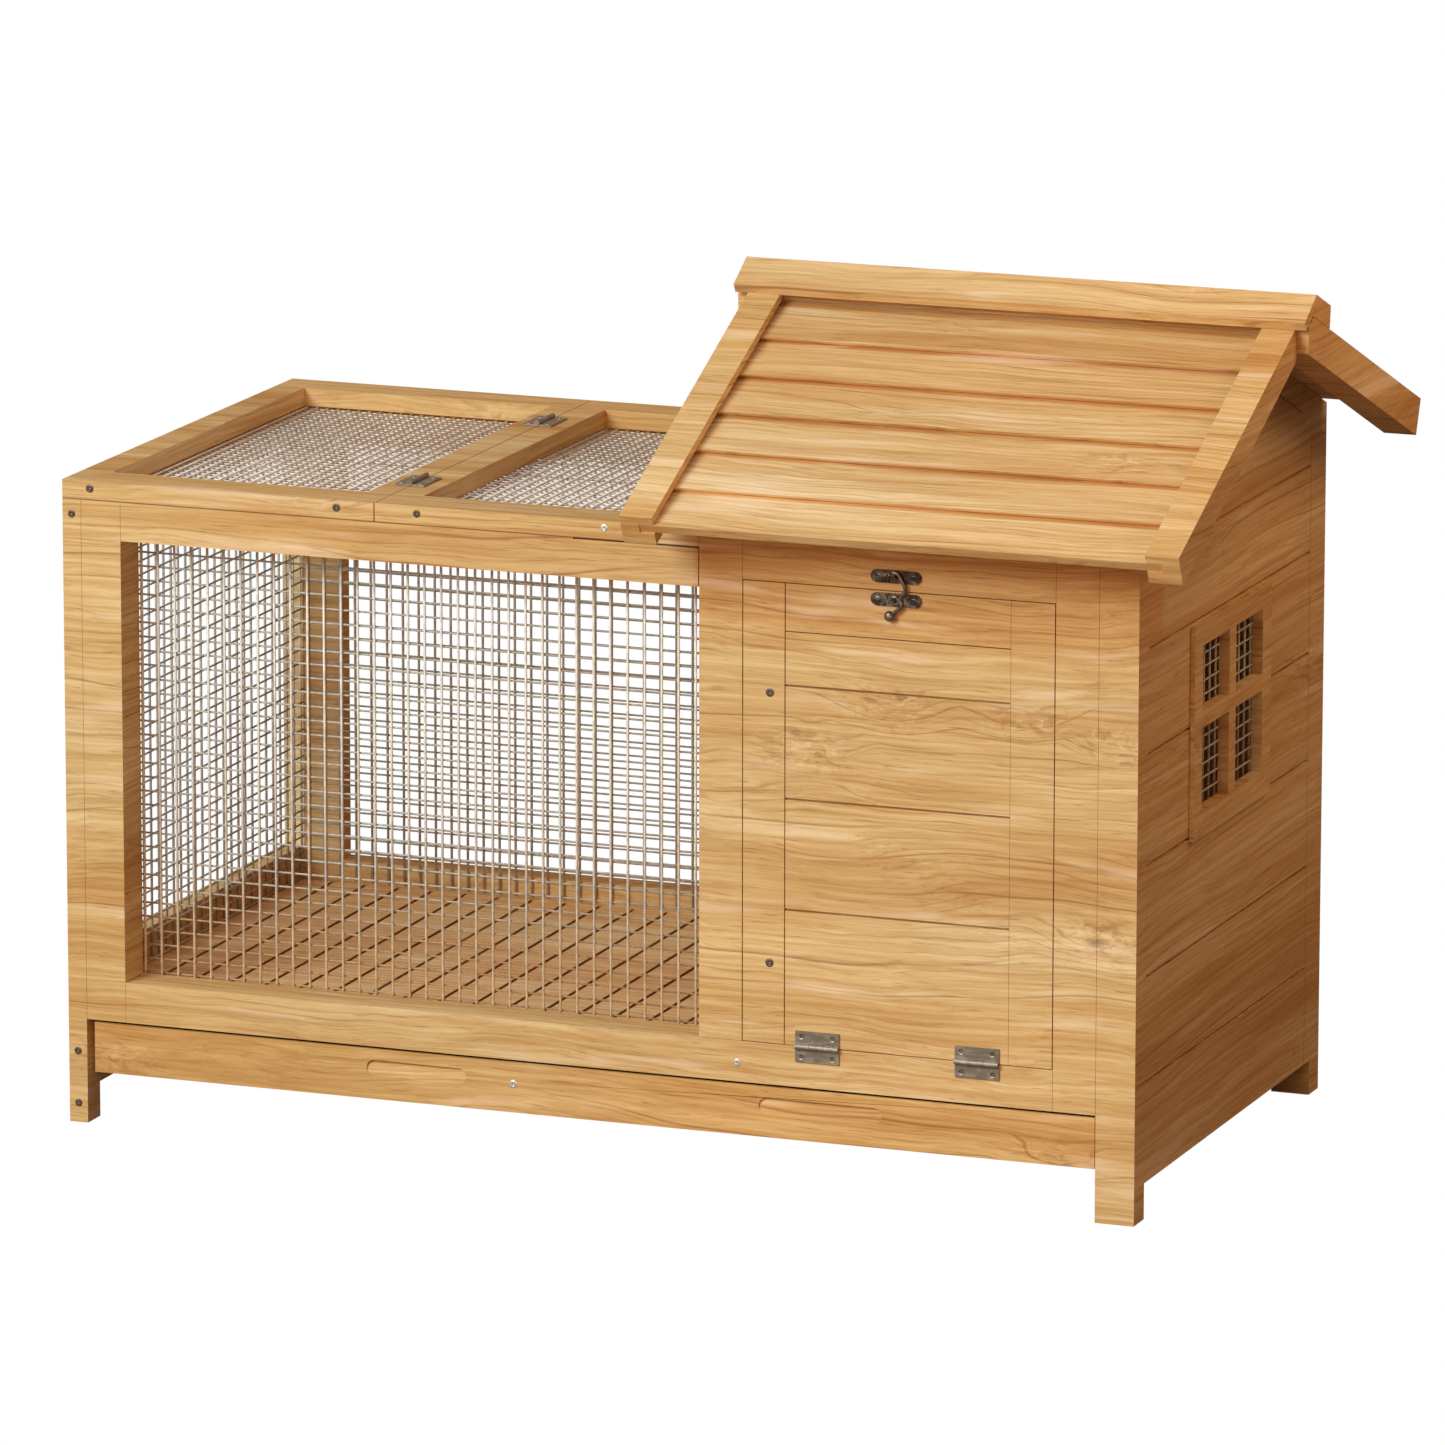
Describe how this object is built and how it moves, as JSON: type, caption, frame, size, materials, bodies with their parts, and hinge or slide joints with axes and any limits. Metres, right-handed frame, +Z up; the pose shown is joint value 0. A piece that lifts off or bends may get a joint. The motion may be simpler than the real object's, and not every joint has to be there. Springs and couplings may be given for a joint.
{
  "type": "rabbit hutch",
  "caption": "Low wooden rabbit hutch: wire-sided run with hinged mesh lid, gabled house with drop-down latched door, lattice window and pull-out droppings tray.",
  "frame": {"origin": "centre of the overall footprint, on the ground", "axes": "+X along the hutch from the run towards the house, -Y out of the front with the door, +Z up"},
  "size_m": [0.9664, 0.5778, 0.6975],
  "materials": {
    "timber": "satin, honey-coloured, horizontal grain",
    "floor_timber": "matt, darker",
    "tray_sheet": "matt sheet",
    "wire": "welded, galvanised",
    "hinge_steel": "brushed",
    "latch_bronze": "dark bronze, satin"
  },
  "bodies": {
    "hutch": {"left_front_leg": "timber", "left_rear_leg": "timber", "left_bottom_rail": "timber", "left_top_rail": "timber", "left_side_mesh": "wire", "front_left_stile": "timber", "front_top_rail": "timber", "front_bottom_rail": "timber", "front_mesh": "wire", "back_bottom_rail": "timber", "back_left_post": "timber", "back_top_rail": "timber", "back_mesh": "wire", "house_back_post": "timber", "back_wall_boards": "timber", "top_panel_frame": "timber", "top_panel_mesh": "wire", "house_front_post": "timber", "door_header": "timber", "door_jamb": "timber", "right_front_leg": "timber", "right_rear_leg": "timber", "right_gable_wall": "timber", "window_frame": "timber", "window_mesh": "wire", "partition_wall": "timber", "slatted_floor": "floor_timber", "front_rafter_left": "timber", "rear_rafter_left": "timber", "front_rafter_right": "timber", "rear_rafter_right": "timber", "front_roof_slat_1": "timber", "front_roof_slat_2": "timber", "front_roof_slat_3": "timber", "front_roof_slat_4": "timber", "front_roof_slat_5": "timber", "front_roof_slat_6": "timber", "rear_roof_boards": "timber", "ridge_board_front": "timber", "ridge_board_rear": "timber", "tray_runner_frame": "floor_timber", "door_hinge_1_fixed_leaf": "hinge_steel", "door_hinge_2_fixed_leaf": "hinge_steel", "lid_hinge_1_fixed_leaf": "hinge_steel", "lid_hinge_2_fixed_leaf": "hinge_steel", "latch_header_plate": "latch_bronze"},
    "door": {"door_left_stile": "timber", "door_right_stile": "timber", "door_top_rail": "timber", "door_boards": "timber", "door_hinge_1_door_leaf": "hinge_steel", "door_hinge_2_door_leaf": "hinge_steel", "latch_door_plate": "latch_bronze"},
    "latch": {"latch_hook": "latch_bronze"},
    "run_lid": {"run_lid_frame": "timber", "run_lid_mesh": "wire", "lid_hinge_1_lid_leaf": "hinge_steel", "lid_hinge_2_lid_leaf": "hinge_steel"},
    "tray": {"tray_front_board": "timber", "tray_pan": "tray_sheet"}
  },
  "joints": [
    {"name": "door_hinge", "type": "hinge", "parent": "hutch", "child": "door", "pos_m": [0.22105, -0.21425, 0.1188], "axis": [1, 0, 0], "range_deg": [0, 93]},
    {"name": "latch_turn", "type": "hinge", "parent": "door", "child": "latch", "pos_m": [0.21955, -0.21575, 0.4797], "axis": [0, 1, 0], "range_deg": [0, 80]},
    {"name": "run_lid_hinge", "type": "hinge", "parent": "hutch", "child": "run_lid", "pos_m": [-0.21585, 0.01825, 0.5267], "axis": [0, 1, 0], "range_deg": [0, 140]},
    {"name": "tray_slide", "type": "slide", "parent": "hutch", "child": "tray", "axis": [0, -1, 0], "range_m": [0, 0.36]}
  ]
}
